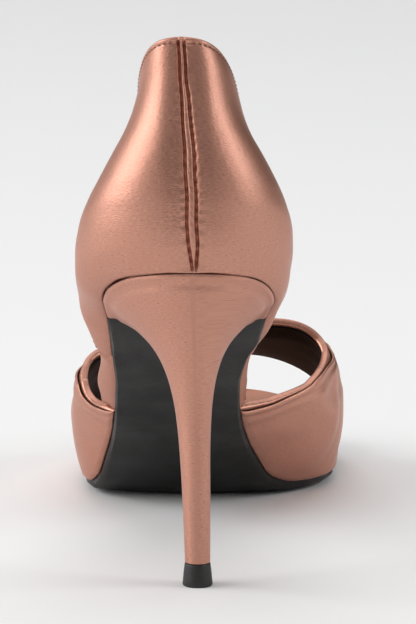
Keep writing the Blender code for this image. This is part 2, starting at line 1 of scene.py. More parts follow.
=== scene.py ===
"""Peep toe pump in duchess satin over its CAD frame: covers, linings, seams and stitches."""
import math

import bmesh
import bpy
import numpy as np
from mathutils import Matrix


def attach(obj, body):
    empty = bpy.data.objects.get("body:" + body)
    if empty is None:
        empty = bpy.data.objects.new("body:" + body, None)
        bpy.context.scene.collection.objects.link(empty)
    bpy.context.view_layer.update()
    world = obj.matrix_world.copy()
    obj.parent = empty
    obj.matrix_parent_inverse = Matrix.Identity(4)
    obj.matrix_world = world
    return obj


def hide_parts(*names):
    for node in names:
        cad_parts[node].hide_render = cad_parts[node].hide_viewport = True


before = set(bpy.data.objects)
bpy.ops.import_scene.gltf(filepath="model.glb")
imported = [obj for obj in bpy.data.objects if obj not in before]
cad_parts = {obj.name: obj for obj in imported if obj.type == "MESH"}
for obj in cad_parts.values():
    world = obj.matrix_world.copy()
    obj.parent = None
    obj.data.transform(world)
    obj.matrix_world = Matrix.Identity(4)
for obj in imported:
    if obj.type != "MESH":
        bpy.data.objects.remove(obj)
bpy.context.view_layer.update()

MM = 0.001

# ---- The last's sizes and tables, as the source has them ----

SOLE_LENGTH = 226 * MM  # seat's back edge to the tip of the toe, measured level
TIP_SETBACK = 16 * MM  # the heel tip's centre stands this far ahead of the seat's back edge
SEAT_HEIGHT = 97.4 * MM  # floor to the seat line at the back of the heel
SEAT_WIDTH = 51.2 * MM
WAIST_WIDTH = 38 * MM
BALL_WIDTH = 78 * MM
TOE_SPRING = 8.2 * MM
TREAD_CROWN = 1.6 * MM  # how far the sole's middle hangs below its edge at the ball
TREAD_WEAR = 0.3 * MM  # what the floor takes off the crown
SIDE_BULGE = 10 * MM  # reach of the wall beyond the sole's edge, which the tables share out
BELLY_HEIGHT = 20.5 * MM  # the wall's widest line above the sole's edge at the ball
BACK_HEIGHT = 71.7 * MM  # back of the quarter above the seat
INSTEP_HEIGHT = 51.7 * MM  # top of the vamp above the sole's edge
QUARTER_WALL = 1.8 * MM
UNDER_BAND_WALL = 1.4 * MM
OUTSOLE_THICKNESS = 2.4 * MM
INSOLE_THICKNESS = 5.0 * MM
INSOLE_SWELL = 6.8 * MM  # most that its lateral side swells past its foot
MEDIAL_SWELL = 0.41  # share of it on the medial side
SOCK_THICKNESS = 1.0 * MM
SOCK_INSET = 1.6 * MM
BREAST = 32 * MM  # the heel's front edge at the seat, ahead of the tip's centre
TOP_PIECE_HEIGHT = 7.2 * MM
TOP_PIECE_WIDTH = 9.0 * MM
TOP_PIECE_DEPTH = 9.6 * MM
STEM_WIDTH = 7.6 * MM
GAP = 0.3 * MM  # clearance between neighbouring curved pieces

# Stations ahead of the heel tip's centre.
SEAT_BACK = -TIP_SETBACK
CUP_CENTRE = 16 * MM  # the heel cup is round behind this station
QUARTER_END = 55 * MM
UNDER_BAND_CORNER = 83 * MM
TREAD_START = 126 * MM  # the sole lies on the floor ahead of this station
TOE_TIP = SOLE_LENGTH - TIP_SETBACK
TOE_OPENING_TOP = TOE_TIP - 38 * MM
TOE_OPENING_FOOT = TOE_TIP - 20 * MM
UNDER_BAND_SETBACK = 2.5 * MM  # the under band stops this far short of the over band at the toe
TOE_CENTRE = TOE_TIP - 38 * MM  # the toe is round ahead of this station

ROUNDNESS = 2.02  # power of the superellipses at the heel and the toe
CUP_SQUARING = 0.7  # what the height adds to that power at the top of the cup
ARC_LENGTH = 130 * MM  # way along the topline from the seam to a front corner
BACK_ARC = 0.45  # share of that way round the back, before the sides run straight
TURN_POWER = 1.3  # slows the turn where a superellipse meets its side, so that no edge kinks
SEAM_LEAN = -0.048  # the back seam leans to the lateral side as it rises
WIDEST_PLACE = 0.64  # the wall's widest line, as a share of the way from crest to sole
LATERAL, MEDIAL = SIDES = (-1, 1)

SOLE_STATIONS = """along rise spring seat ball swing
0.000 1.000 0.00 1.00 0.000 -0.014
0.044 0.964 0.00 1.00 0.000 -0.024
0.093 0.909 0.00 1.00 0.000 -0.033
0.137 0.853 0.00 0.99 0.000 -0.038
0.181 0.804 0.00 0.86 0.000 -0.046
0.226 0.744 0.00 0.68 0.000 -0.053
0.266 0.671 0.00 0.50 0.000 -0.062
0.305 0.598 0.00 0.22 0.000 -0.083
0.367 0.479 0.00 0.00 0.000 -0.096
0.420 0.383 0.00 0.00 0.008 -0.101
0.469 0.294 0.00 0.00 0.040 -0.103
0.509 0.219 0.00 0.00 0.105 -0.101
0.558 0.127 0.00 0.00 0.235 -0.096
0.602 0.042 0.00 0.00 0.400 -0.085
0.642 0.004 0.00 0.00 0.650 -0.055
0.668 0.000 0.00 0.00 0.820 -0.030
0.695 0.000 0.00 0.00 0.935 -0.008
0.735 0.000 0.00 0.00 1.000 0.006
0.779 0.000 0.03 0.00 0.975 0.014
0.832 0.000 0.14 0.00 0.900 0.030
0.911 0.000 0.46 0.00 0.830 0.060
1.000 0.000 1.00 0.00 0.800 0.074"""

WALL_STATIONS = """along lateral medial belly
0.000 0.90 0.57 0.47
0.124 0.88 0.45 0.47
0.195 0.94 0.59 0.48
0.248 0.97 0.51 0.44
0.301 0.72 0.40 0.35
0.345 0.47 0.28 0.30
0.395 0.60 0.26 0.34
0.425 0.70 0.55 0.48
0.469 0.80 1.22 0.74
0.513 0.86 1.72 0.92
0.558 0.86 2.02 1.00
0.602 0.72 1.93 1.02
0.646 0.48 1.22 1.02
0.690 0.28 0.54 1.00
0.735 0.22 0.12 0.95
0.779 0.24 0.14 0.87
0.832 0.22 0.10 0.74
0.885 0.16 0.10 0.58
0.920 0.12 0.10 0.30
1.000 0.12 0.10 0.25"""

VAMP_STATIONS = """along crest ridge lateral_fullness medial_fullness
0.400 0.86 0.18 2.05 2.55
0.513 0.93 0.19 2.05 2.90
0.628 1.00 0.21 2.40 3.20
0.690 0.88 0.20 2.35 2.70
0.735 0.80 0.18 2.30 2.45
0.779 0.72 0.16 2.10 2.10
0.832 0.63 0.14 1.85 1.80
0.885 0.54 0.12 1.80 1.75"""

CUP_LEVELS = """height width back axis
0.000 0.998 0.012 -0.026
0.125 0.994 0.046 -0.022
0.200 1.004 0.051 -0.017
0.290 0.987 0.050 -0.010
0.375 0.928 0.043 -0.005
0.458 0.840 0.030 -0.001
0.556 0.723 0.008 0.000
0.653 0.602 -0.018 -0.001
0.736 0.527 -0.040 -0.000
0.820 0.476 -0.060 0.001
0.903 0.438 -0.080 -0.005
1.000 0.364 -0.100 -0.017"""

TOPLINE = """round height
0.000 1.000
0.100 0.994
0.190 0.982
0.270 0.960
0.340 0.928
0.400 0.893
0.460 0.847
0.520 0.786
0.590 0.696
0.670 0.585
0.780 0.449
0.880 0.325
0.950 0.209
0.985 0.123
1.000 0.057"""

BAND_EDGES = """inward under_lateral under_medial over_lateral over_medial
0.00 0.446 0.439 0.443 0.443
0.04 0.450 0.441 0.447 0.446
0.08 0.455 0.446 0.454 0.452
0.12 0.461 0.453 0.463 0.459
0.16 0.470 0.462 0.473 0.468
0.20 0.482 0.474 0.486 0.478
0.25 0.497 0.487 0.502 0.490
0.30 0.510 0.505 0.518 0.507
0.36 0.522 0.528 0.533 0.530
0.42 0.530 0.549 0.546 0.551
0.50 0.543 0.574 0.568 0.578
0.58 0.562 0.594 0.594 0.607
0.66 0.583 0.610 0.621 0.638
0.75 0.603 0.622 0.649 0.664
0.85 0.619 0.626 0.673 0.680
1.00 0.628 0.628 0.688 0.688"""

HEEL_RINGS = """level back back_rise front front_rise width squareness lean
0.00 0.262 0.000 0.140 0.000 0.000 0.00 0.00
0.20 0.272 0.179 0.152 0.226 0.014 0.00 0.10
0.38 0.300 0.385 0.170 0.447 0.034 0.00 0.28
0.52 0.355 0.536 0.205 0.602 0.070 0.02 0.42
0.63 0.440 0.644 0.262 0.713 0.130 0.08 0.55
0.73 0.560 0.735 0.350 0.801 0.225 0.18 0.68
0.82 0.700 0.814 0.480 0.873 0.370 0.36 0.80
0.90 0.835 0.879 0.660 0.931 0.580 0.60 0.90
0.96 0.940 0.940 0.860 0.973 0.820 0.84 0.97
1.00 1.000 1.000 1.000 1.000 1.000 1.00 1.00"""


def curves(table):
    """One smooth function for each column of a table against its first column.

    Each stretch is a cubic whose end slopes are the harmonic mean of the slopes beside them.
    """
    names, *rows = [line.split() for line in table.splitlines()]
    values = np.array(rows, float)
    at, step = values[:, 0], np.diff(values[:, 0])

    def through(value):
        rise = np.diff(value) / step
        before, after = rise[:-1], rise[1:]
        same = before * after > 0
        total = np.where(same, before + after, 1.0)
        slope = np.concatenate([rise[:1], np.where(same, 2 * before * after / total, 0), rise[-1:]])

        def read(where):
            where = np.clip(np.asarray(where, float), at[0], at[-1])
            i = np.clip(np.searchsorted(at, where, side="right") - 1, 0, len(step) - 1)
            t = (where - at[i]) / step[i]
            a = (1 + 2 * t) * (1 - t) ** 2 * value[i] + t * (1 - t) ** 2 * step[i] * slope[i]
            b = t * t * (3 - 2 * t) * value[i + 1] + t * t * (t - 1) * step[i] * slope[i + 1]
            return a + b

        return read

    return {name: through(values[:, k]) for k, name in enumerate(names) if k}


SOLE, WALL, VAMP = curves(SOLE_STATIONS), curves(WALL_STATIONS), curves(VAMP_STATIONS)
CUP, TOP, REAR, HEEL = curves(CUP_LEVELS), curves(TOPLINE), curves(BAND_EDGES), curves(HEEL_RINGS)


# ---- The last ----

def along(y):
    """Share of the sole's length at y."""
    return (np.asarray(y, float) + TIP_SETBACK) / SOLE_LENGTH


def edge_height(y):
    """Height of the sole's edge line: the arch's rise, the tread's thickness and the toe spring."""
    s = along(y)
    tread = OUTSOLE_THICKNESS + TREAD_CROWN - TREAD_WEAR
    return tread + SOLE["rise"](s) * (SEAT_HEIGHT - tread) + SOLE["spring"](s) * TOE_SPRING


def end_rounding(y, inset=0.0):
    """Share of the full width left at y: a superellipse's quarter at the heel and at the toe."""
    back = np.clip((CUP_CENTRE - y) / (CUP_CENTRE - SEAT_BACK - inset), 0, 1)
    front = np.clip((y - TOE_CENTRE) / (TOE_TIP - TOE_CENTRE - inset), 0, 1)
    return (1 - np.maximum(back, front) ** ROUNDNESS) ** (1 / ROUNDNESS)


def sole_axis(y):
    """Sideways place of the sole's middle at y."""
    return SOLE["swing"](along(y)) * BALL_WIDTH


def sole_half_width(y):
    """Half the sole's width before its ends are rounded: shares of the seat, ball and waist."""
    s = along(y)
    seat, ball = SOLE["seat"](s), SOLE["ball"](s)
    return (SEAT_WIDTH * seat + BALL_WIDTH * ball + WAIST_WIDTH * (1 - seat - ball)) / 2


def sole_edge(y, side, inset=0.0, beyond=0.0):
    """The sole's edge at y, drawn in by inset all round and moved out by beyond."""
    return sole_axis(y) + side * (sole_half_width(y) - inset + beyond) * end_rounding(y, inset)


def bulge(y, side):
    """Reach of the wall's widest line beyond the sole's edge."""
    s = along(y)
    return SIDE_BULGE * np.where(side == MEDIAL, WALL["medial"](s), WALL["lateral"](s))


def belly_height(y):
    """Height of the wall's widest line above its foot."""
    return BELLY_HEIGHT * WALL["belly"](along(y))


def underside_curve(height_share, fullness):
    """The wall's lower curve: a quarter circle's sideways reach, raised to fullness."""
    return (1 - (1 - height_share) ** 2) ** fullness


def underside(y):
    """Fullness of the lower curve: half at the heel cup, and nearly whole from the bands on."""
    return 0.5 + 0.4 * np.clip((y - QUARTER_END) / (UNDER_BAND_CORNER - QUARTER_END), 0, 1)


def side_wall(y, side, height_share):
    """The wall below its widest line, at a share of that line's height."""
    x = sole_edge(y, side) + side * bulge(y, side) * underside_curve(height_share, underside(y))
    return x, edge_height(y) + GAP + belly_height(y) * height_share


def quarter_point(around, share):
    """The heel cup: level superellipses whose size follows the height, on the sole's edge line.

    around is -1 at the lateral front corner, 0 at the back seam and 1 at the medial corner; share
    is 0 at the sole and 1 at the topline.
    """
    side = np.where(around < 0, LATERAL, MEDIAL)
    place = np.abs(around)
    turn = (1 - np.clip(1 - place / BACK_ARC, 0, 1) ** TURN_POWER) * math.pi / 2
    forward = np.clip((place - BACK_ARC) / (1 - BACK_ARC), 0, 1) * (QUARTER_END - CUP_CENTRE)
    height = BACK_HEIGHT * TOP["height"](place) * share
    level = height / BACK_HEIGHT
    across = np.sin(turn) ** (2 / ROUNDNESS)
    squarer = ROUNDNESS + CUP_SQUARING * level
    behind = np.clip(1 - across**squarer, 0, 1) ** (1 / squarer)
    back_reach = CUP_CENTRE - SEAT_BACK + CUP["back"](level) * BACK_HEIGHT
    y = CUP_CENTRE - back_reach * behind + forward
    station = np.maximum(y, CUP_CENTRE)
    axis = sole_axis(station) * across + sole_axis(SEAT_BACK) * (1 - across)
    seat_x = axis + side * sole_half_width(station) * across
    widest = sole_edge(station, side) + side * bulge(station, side)
    cup_axis = (CUP["axis"](level) - CUP["axis"](0)) * BALL_WIDTH
    seat_axis = (sole_edge(CUP_CENTRE, MEDIAL) + sole_edge(CUP_CENTRE, LATERAL)) / 2
    seat_axis = seat_axis + (bulge(CUP_CENTRE, MEDIAL) - bulge(CUP_CENTRE, LATERAL)) / 2
    upper_x = seat_axis + cup_axis + (widest - seat_axis) * CUP["width"](level)
    seam_x = sole_axis(SEAT_BACK) + SEAM_LEAN * height
    upper_x = upper_x * across + seam_x * (1 - across)
    low = underside_curve(np.clip(height / belly_height(station), 0, 1), 0.5)
    x = seat_x + (upper_x - seat_x) * low
    return np.stack([x, y, edge_height(y) + GAP + height], axis=-1)


def vamp_point(y, across):
    """The vamp: at each station a superellipse from ridge to belly, then the side wall."""
    side = np.where(across < 0, LATERAL, MEDIAL)
    place = np.abs(across)
    s = along(y)
    ridge_x = VAMP["ridge"](s) * BALL_WIDTH
    widest = sole_edge(y, side) + side * bulge(y, side)
    belly = edge_height(y) + GAP + belly_height(y)
    crest = edge_height(y) + GAP + VAMP["crest"](s) * INSTEP_HEIGHT
    full = np.where(side == MEDIAL, VAMP["medial_fullness"](s), VAMP["lateral_fullness"](s))
    turn = np.clip(1 - place / WIDEST_PLACE, 0, 1) ** TURN_POWER * math.pi / 2
    over_x = ridge_x + (widest - ridge_x) * np.cos(turn) ** (2 / full)
    over_z = belly + (crest - belly) * np.sin(turn) ** (2 / full)
    height_share = np.clip((1 - place) / (1 - WIDEST_PLACE), 0, 1) ** 1.5
    low_x, low_z = side_wall(y, side, height_share)
    above = place < WIDEST_PLACE
    return np.stack([np.where(above, over_x, low_x), y, np.where(above, over_z, low_z)], axis=-1)


# ---- Meshes ----

STITCH_RINGS, STITCH_SIDES = 7, 6


def outward(points):
    """Unit normals of a grid: the cross product of its column step and its row step."""
    normal = np.cross(np.gradient(points, axis=1), np.gradient(points, axis=0))
    return normal / np.maximum(np.linalg.norm(normal, axis=-1, keepdims=True), 1e-12)


def lengths(points, axis):
    """Way along one direction of a grid, summed from the distances between neighbours."""
    step = np.linalg.norm(np.diff(points, axis=axis), axis=-1)
    pad = [(0, 0)] * step.ndim
    pad[axis] = (1, 0)
    return np.pad(np.cumsum(step, axis=axis), pad)


def quads(numbers):
    """Quads over a grid of vertex numbers, which face the way that outward() points."""
    a, b, c, d = numbers[:-1, :-1], numbers[:-1, 1:], numbers[1:, 1:], numbers[1:, :-1]
    return np.stack([a, b, c, d], axis=-1).reshape(-1, 4)


def add_piece(name, vertices, faces, surface, nodes=(), uv=None, crease=None):
    """A mesh piece on the root body, with its way across and down the cloth in metres as UV."""
    mesh = bpy.data.meshes.new(name)
    mesh.from_pydata(vertices.reshape(-1, 3), [], faces)
    mesh.materials.append(surface)
    if uv is not None:
        corner = np.zeros(len(mesh.loops), int)
        mesh.loops.foreach_get("vertex_index", corner)
        layer = mesh.uv_layers.new(name="cloth")
        layer.data.foreach_set("uv", uv.reshape(-1, 2)[corner].ravel())
    mesh.shade_smooth()
    if crease:
        mesh.set_sharp_from_angle(angle=math.radians(crease))
    made = bpy.data.objects.new(name, mesh)
    bpy.context.scene.collection.objects.link(made)
    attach(made, "root")
    if nodes:
        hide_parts(*nodes)
    return made


def face_out(piece):
    """Turns a closed piece's faces outward."""
    turned = bmesh.new()
    turned.from_mesh(piece.data)
    bmesh.ops.recalc_face_normals(turned, faces=turned.faces)
    turned.to_mesh(piece.data)
    turned.free()


def add_wall(name, points, normals, outer, inner, rim, surface, nodes=()):
    """A closed wall on a grid: its faces lie at outer and inner along the normals.

    Within rim of the border both close on the middle as a half ellipse, where they share vertices.
    """
    down, over = lengths(points, 0), lengths(points, 1)
    depth = np.minimum(np.minimum(down, down[-1] - down), np.minimum(over, over[:, -1:] - over))
    swell = np.sqrt(1 - (1 - np.clip(depth / rim, 0, 1)) ** 2)
    middle, half = (outer + inner) / 2, (outer - inner) / 2
    front = points + normals * (middle + half * swell)[..., None]
    back = points + normals * (middle - half * swell)[..., None]
    rows, columns = depth.shape
    numbers = np.arange(rows * columns).reshape(rows, columns)
    behind = numbers.copy()
    inner_count = (rows - 2) * (columns - 2)
    behind[1:-1, 1:-1] = rows * columns + np.arange(inner_count).reshape(rows - 2, -1)
    vertices = np.concatenate([front.reshape(-1, 3), back[1:-1, 1:-1].reshape(-1, 3)])
    faces = np.concatenate([quads(numbers), quads(behind)[:, ::-1]])
    flat = np.stack([over - over[:, columns // 2, None], down], axis=-1)
    uv = np.concatenate([flat.reshape(-1, 2), flat[1:-1, 1:-1].reshape(-1, 2)])
    add_piece(name, vertices, faces, surface, nodes, uv)


def add_loft(name, rings, surface, nodes=(), crease=40):
    """A closed solid through rings of points, whose ends close between points i and -1 - i."""
    count, around = rings.shape[:2]
    numbers = np.arange(count * around).reshape(count, around)
    numbers = np.concatenate([numbers, numbers[:, :1]], axis=1)
    i = np.arange(around // 2 - 1)
    cap = np.stack([i, i + 1, around - 2 - i, around - 1 - i], axis=-1)
    faces = np.concatenate([quads(numbers), cap[:, ::-1], cap + (count - 1) * around])
    closed = np.concatenate([rings, rings[:, :1]], axis=1)
    flat = np.stack([lengths(closed, 1), lengths(closed, 0)], axis=-1)[:, :-1]
    face_out(add_piece(name, rings, faces, surface, nodes, flat, crease))


def add_stitches(name, path, normals, pitch, length, thread, surface):
    """Thread stitches along a path: short tubes whose radius follows a half ellipse.

    The middle of each stands half its thickness out of the cloth and its ends dive back into it.
    """
    way = lengths(path[None], 1)[0]
    count = int(way[-1] / pitch)
    centre = (np.arange(count) + 0.5) * way[-1] / count
    t = np.linspace(-1, 1, STITCH_RINGS)
    at = centre[:, None] + t * length / 2

    def read(values):
        return np.stack([np.interp(at, way, values[:, k]) for k in range(3)], axis=-1)

    core, up = read(path), read(normals)
    ahead = np.gradient(core, axis=1)
    ahead /= np.linalg.norm(ahead, axis=-1, keepdims=True)
    aside = np.cross(ahead, up)
    up = np.cross(aside, ahead)
    core = core + up * (thread * (0.25 - 0.7 * t[:, None] ** 4))
    turn = np.linspace(0, 2 * math.pi, STITCH_SIDES, endpoint=False)
    radius = thread / 2 * np.sqrt(1.02 - t**2)[None, :, None, None]
    ring = np.cos(turn)[:, None] * aside[:, :, None] + np.sin(turn)[:, None] * up[:, :, None]
    vertices = core[:, :, None] + radius * ring
    each = STITCH_RINGS * STITCH_SIDES
    grid = np.arange(each).reshape(STITCH_RINGS, STITCH_SIDES)
    tube = quads(np.concatenate([grid, grid[:, :1]], axis=1))
    ends = np.array([[0, 1, 2, 3], [0, 3, 4, 5]])
    one = np.concatenate([tube, ends, ends[:, ::-1] + each - STITCH_SIDES])
    faces = (one[None] + each * np.arange(count)[:, None, None]).reshape(-1, 4)
    face_out(add_piece(name, vertices, faces, surface))


def bump(distance, centre, width):
    """A smooth hump of height 1 at centre, gone at width to either side."""
    return np.clip(1 - ((distance - centre) / width) ** 2, 0, 1) ** 2


# ---- Materials ----

def linear(code):
    """sRGB hex to a linear colour."""
    values = np.array([int(code[i : i + 2], 16) for i in (0, 2, 4)]) / 255
    return (*np.where(values <= 0.04045, values / 12.92, ((values + 0.055) / 1.055) ** 2.4), 1.0)


def add(tree, kind, inputs=None, **settings):
    """Adds one node: settings are its properties, inputs its sockets' values or links."""
    made = tree.nodes.new(kind)
    for name, value in settings.items():
        setattr(made, name, value)
    for socket, value in (inputs or {}).items():
        if isinstance(value, bpy.types.NodeSocket):
            tree.links.new(value, made.inputs[socket])
        else:
            made.inputs[socket].default_value = value
    return made


def mixed(tree, share, first, second):
    """A colour mix: first and second are hex codes or links."""
    first, second = (linear(c) if isinstance(c, str) else c for c in (first, second))
    made = add(tree, "ShaderNodeMix", {0: share, 6: first, 7: second}, data_type="RGBA")
    return made.outputs[2]


def object_place(tree):
    """Place on the object in metres, or the direction looked at in a world's nodes."""
    return add(tree, "ShaderNodeTexCoord").outputs["Object"]


def noise(tree, place, scale, detail, roughness=0.5):
    """A noise texture's value at a place."""
    inputs = {"Vector": place, "Scale": scale, "Detail": detail, "Roughness": roughness}
    return add(tree, "ShaderNodeTexNoise", inputs).outputs[0]


def relief(tree, height, strength, distance, **under):
    """The normal of a bump from a value, distance metres deep."""
    inputs = {"Height": height, "Strength": strength, "Distance": distance, **under}
    return add(tree, "ShaderNodeBump", inputs).outputs[0]


def start_material(name, **sockets):
    """A material with one Principled shader, and the values of its sockets."""
    made = bpy.data.materials.new(name)
    made.use_nodes = True
    tree = made.node_tree
    shader = tree.nodes["Principled BSDF"]
    for socket, value in sockets.items():
        shader.inputs[socket.replace("_", " ")].default_value = value
    return made, tree, shader


def finish_material(tree, shader, colour, normal=None, roughness=None):
    """Links what a material's textures give to its shader."""
    for socket, link in (("Base Color", colour), ("Normal", normal), ("Roughness", roughness)):
        if link is not None:
            tree.links.new(link, shader.inputs[socket])


def duchess_satin(name):
    """Duchess satin: a tight warp-faced weave of bright filament yarn, glued to a thin backing.

    The floats lie side by side, so the cloth mirrors light in a soft broad band across the threads
    and shows short slubs along them. The real yarn is 0.1 mm apart; it is drawn at 0.4 mm to show.
    """
    made, tree, shader = start_material(
        name,
        Metallic=0.72, Anisotropic=0.25, Specular_Tint=linear("d0a090"),
        Coat_Weight=0.7, Coat_Roughness=0.42, Coat_IOR=1.6,
        Sheen_Weight=0.06, Sheen_Roughness=0.4, Sheen_Tint=linear("e0a88f"),
    )
    uv = add(tree, "ShaderNodeUVMap", uv_map="cloth").outputs[0]
    threads = add(tree, "ShaderNodeMapping", {"Vector": uv, "Scale": (800, 2600, 1)}).outputs[0]
    yarn = {"Value": noise(tree, threads, 1.0, 3.0, 0.6), "From Min": 0.3, "From Max": 0.7}
    slub = add(tree, "ShaderNodeMapRange", yarn).outputs[0]
    patch = noise(tree, uv, 60.0, 4.0, 0.55)
    colour = mixed(tree, patch, mixed(tree, slub, "ac6f5c", "d9a08a"), "c48972")
    gloss = add(tree, "ShaderNodeMapRange", {"Value": slub, "To Min": 0.27, "To Max": 0.4})
    crumple = relief(tree, noise(tree, uv, 700.0, 2.0), 0.3, 0.0002)
    weave = relief(tree, slub, 0.45, 0.00012, Normal=crumple)
    finish_material(tree, shader, colour, weave, gloss.outputs[0])
    return made


def kid_lining(name):
    """Black kid lining: fine-grained, aniline-dyed leather with a low waxy gloss."""
    made, tree, shader = start_material(name, Roughness=0.6, Specular_IOR_Level=0.18)
    place = object_place(tree)
    grain = add(tree, "ShaderNodeTexVoronoi", {"Vector": place, "Scale": 1600.0}).outputs[0]
    colour = mixed(tree, noise(tree, place, 90.0, 5.0), "060505", "100d0c")
    finish_material(tree, shader, colour, relief(tree, grain, 0.3, 0.00015))
    return made


def sole_leather(name):
    """Sole leather sprayed black: a compact, lightly brushed coat, greyer where light falls."""
    made, tree, shader = start_material(name, IOR=1.5, Specular_IOR_Level=0.34)
    place = object_place(tree)
    brushed = add(tree, "ShaderNodeMapping", {"Vector": place, "Scale": (900, 260, 900)})
    strokes = noise(tree, brushed.outputs[0], 1.0, 5.0, 0.65)
    clouds = noise(tree, place, 45.0, 5.0)
    blend = add(tree, "ShaderNodeMix", {0: 0.5, 2: strokes, 3: clouds}, data_type="FLOAT")
    colour = mixed(tree, blend.outputs[0], "070707", "1c1b1a")
    gloss = {"Value": clouds, "From Min": 0.35, "From Max": 0.65, "To Min": 0.34, "To Max": 0.62}
    mottled = add(tree, "ShaderNodeMapRange", gloss).outputs[0]
    finish_material(tree, shader, colour, relief(tree, strokes, 0.5, 0.0002), mottled)
    return made


def moulded_rubber(name):
    """Hard black polyurethane of the top piece: moulded, slightly dusty and dull."""
    made, tree, shader = start_material(name, Roughness=0.55, IOR=1.5)
    place = object_place(tree)
    dust = noise(tree, place, 1200.0, 3.0)
    colour = mixed(tree, dust, "141414", "2c2b2a")
    finish_material(tree, shader, colour, relief(tree, dust, 0.2, 0.0001))
    return made


def foiled_leather(name):
    """Sock leather with a copper transfer foil: thin metallic film over a soft grain."""
    made, tree, shader = start_material(name, Metallic=0.6, Roughness=0.42)
    place = object_place(tree)
    grain = add(tree, "ShaderNodeTexVoronoi", {"Vector": place, "Scale": 1100.0}).outputs[0]
    colour = mixed(tree, noise(tree, place, 70.0, 5.0), "8f5f4c", "b98068")
    finish_material(tree, shader, colour, relief(tree, grain, 0.25, 0.0002))
    return made


def filament_thread(name):
    """Bonded polyester sewing thread, a shade darker than the satin, with a soft twist."""
    made, tree, shader = start_material(name, Roughness=0.5, Sheen_Weight=0.2)
    place = object_place(tree)
    twist = noise(tree, place, 2500.0, 2.0)
    finish_material(tree, shader, mixed(tree, twist, "6e3f31", "9a6350"))
    return made


def background_paper(name):
    """A pale seamless paper sweep, matt."""
    made, tree, shader = start_material(name, Roughness=0.9, Specular_IOR_Level=0.2)
    place = object_place(tree)
    pulp = noise(tree, place, 4.0, 2.0)
    finish_material(tree, shader, mixed(tree, pulp, "f4f4f4", "f6f6f6"))
    return made


SATIN = duchess_satin("duchess satin")
LINING = kid_lining("black kid lining")
SOLE_BLACK = sole_leather("black sole leather")
RUBBER = moulded_rubber("top piece rubber")
SOCK_FOIL = foiled_leather("copper foiled leather")
THREAD = filament_thread("satin thread")


# ---- Quarter ----

SATIN_CLOTH = 0.9 * MM  # cloth and backing; the lining takes the rest of the wall
CLOTH_GAP = 0.04 * MM  # between the quarter's cloth and its lining
STITCH_PITCH = 1.9 * MM
TOPLINE_ROW = 1.75  # millimetres from the topline down to its stitches
SEAM_ZONE = 2.6  # millimetres to each side of the seam: a finer grid, and no topline stitches
GROOVE_DEPTH, GROOVE_REACH = 1.5, 0.66
LINING_GROOVE = 1.2  # depth that the cloth's inner face and the lining follow
HOLLOW_DEPTH, HOLLOW_REACH = 0.6, 8.5

# The grid's first steps in millimetres: in from the topline and from the front corners. At the
# foot they are square roots of the height, as shares of FOOT_REACH.
TOP_STEPS = np.array(
    [0, 0.03, 0.1, 0.2, 0.34, 0.5, 0.7, 0.95, 1.2, 1.4, 1.55, 1.7, 1.85, 2.0, 2.2, 2.5, 2.9, 3.3]
)
END_STEPS = np.array([0, 0.04, 0.12, 0.25, 0.4, 0.6, 0.85, 1.15, 1.5])
FOOT_STEPS = np.array([0, 0.005, 0.015, 0.03, 0.05, 0.08, 0.12, 0.17, 0.23, 0.30])
FOOT_REACH = 4.8 * MM
QUARTER_ROWS = 98


def quarter_grid():
    """Heights and places of the quarter's grid, close together at the borders and at the seam.

    Near the foot the wall's curve starts level, so its heights grow with the square of the way.
    """
    near, far = np.arange(0, SEAM_ZONE, 0.13), SEAM_ZONE + 0.9 * np.arange(0, 139)
    away = np.concatenate([near, far]) * MM / ARC_LENGTH
    away = np.concatenate([away[away < 0.985], 1 - END_STEPS[::-1] * MM / ARC_LENGTH])
    around = np.concatenate([-away[:0:-1], away])
    full = BACK_HEIGHT * TOP["height"](np.abs(around))
    low = FOOT_REACH * FOOT_STEPS**2
    t = np.linspace(0, 1, QUARTER_ROWS)[1:-1, None]
    between = low[-1] + (full - TOP_STEPS[-1] * MM - low[-1]) * t**1.3
    foot = np.broadcast_to(low[:, None], (len(low), len(full)))
    height = np.concatenate([foot, between, full - TOP_STEPS[::-1, None] * MM])
    return np.broadcast_to(around, height.shape), height, full


def seam_relief(aside, rise, below_top):
    """The back seam in millimetres: its welt and hollow, and the groove on either side of the welt.

    The welt wavers, narrows to a point at the foot and leans, and its stitches pull the cloth in.
    """
    ends = np.clip(rise / 2, 0, 1)
    waver = 0.2 * np.sin(rise / 6.1) + 0.12 * np.sin(rise / 2.3 + 1)
    lean = 0.7 - 1.1 * np.clip((rise - 45) / 22, 0, 1)
    beside = np.abs(aside - lean + waver * bump(aside, 0, 5))
    welt = (0.85 + 0.55 * np.clip((60 - rise) / 25, 0, 1)) * (0.3 + 0.7 * np.clip(rise / 9, 0, 1))
    pulled = np.sin(rise * 2.0 + 1.6 * np.sin(rise / 3.4) + np.sign(aside - lean))
    groove = bump(beside, welt, GROOVE_REACH) * ends * np.clip(below_top / 2, 0.3, 1)
    groove = groove * (0.8 + 0.28 * pulled)
    pucker = -0.14 * pulled * bump(beside, 2.3, 1.5) + 0.1 * pulled * bump(beside, 0, 0.8)
    raised = 0.4 * bump(beside, 0, welt) + pucker - HOLLOW_DEPTH * bump(aside, 0, HOLLOW_REACH)
    return raised * ends * np.clip(below_top / 3, 0.35, 1), groove


